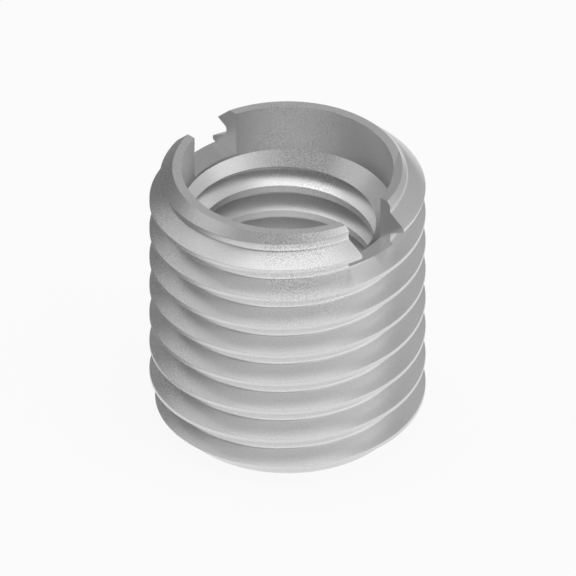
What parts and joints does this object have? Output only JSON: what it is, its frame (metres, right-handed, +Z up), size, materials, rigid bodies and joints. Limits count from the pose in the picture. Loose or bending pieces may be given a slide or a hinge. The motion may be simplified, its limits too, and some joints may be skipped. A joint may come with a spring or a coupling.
{
  "type": "self-locking threaded insert",
  "caption": "Steel sleeve with a coarse outer thread, an inner thread for a screw, a plain counterbore above it and a straight slot across the top for driving it in.",
  "frame": {"origin": "centre of the bottom end face", "axes": "+Z up along the insert's axis to the slotted end, +X along the driving slot"},
  "size_m": [0.016, 0.016, 0.017],
  "materials": {
    "steel": "fine matte blasted steel"
  },
  "bodies": {
    "root": {"insert_body": "steel"}
  },
  "joints": []
}
